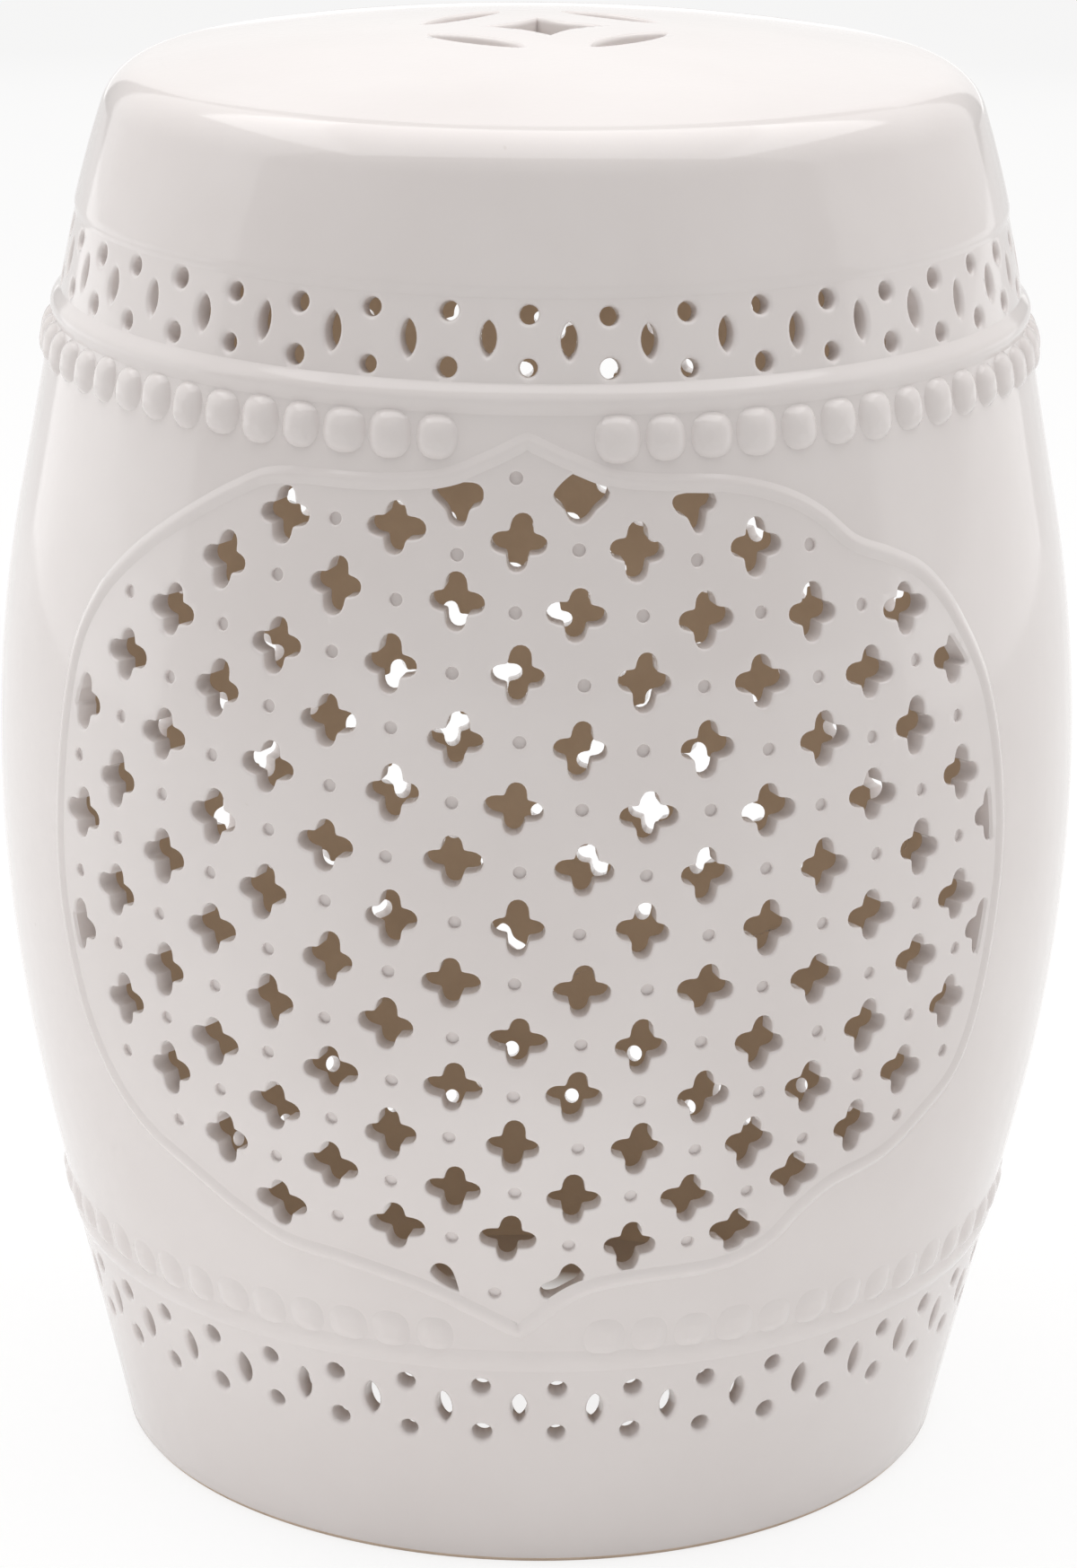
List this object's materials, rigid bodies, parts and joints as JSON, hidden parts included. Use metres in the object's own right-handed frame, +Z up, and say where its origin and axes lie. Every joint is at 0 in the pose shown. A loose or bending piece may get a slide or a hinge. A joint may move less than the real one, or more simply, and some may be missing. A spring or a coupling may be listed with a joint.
{
  "type": "garden stool",
  "caption": "Barrel-shaped white glazed ceramic garden stool with pierced lattice panels in raised frames, pierced bands, bead rows and a domed seat pierced with a coin motif.",
  "frame": {"origin": "centre of the foot ring, on the floor", "axes": "+Z up along the axis of the barrel; the front lattice panel faces -Y and the rear one +Y; X runs across"},
  "size_m": [0.3436, 0.3436, 0.4569],
  "materials": {
    "white_glaze": "gloss",
    "unglazed_foot": "gloss, with an unglazed foot edge"
  },
  "bodies": {
    "root": {"foot_wall": "unglazed_foot", "front_lattice_panel": "white_glaze", "front_panel_frame": "white_glaze", "left_side_wall": "white_glaze", "lower_bead_row_left": "white_glaze", "lower_bead_row_right": "white_glaze", "lower_pierced_band": "white_glaze", "lower_ring_moulding": "white_glaze", "rear_lattice_panel": "white_glaze", "rear_panel_frame": "white_glaze", "right_side_wall": "white_glaze", "seat_disc": "white_glaze", "shoulder_wall": "white_glaze", "upper_bead_row_left": "white_glaze", "upper_bead_row_right": "white_glaze", "upper_pierced_band": "white_glaze", "upper_ring_moulding": "white_glaze"}
  },
  "joints": []
}
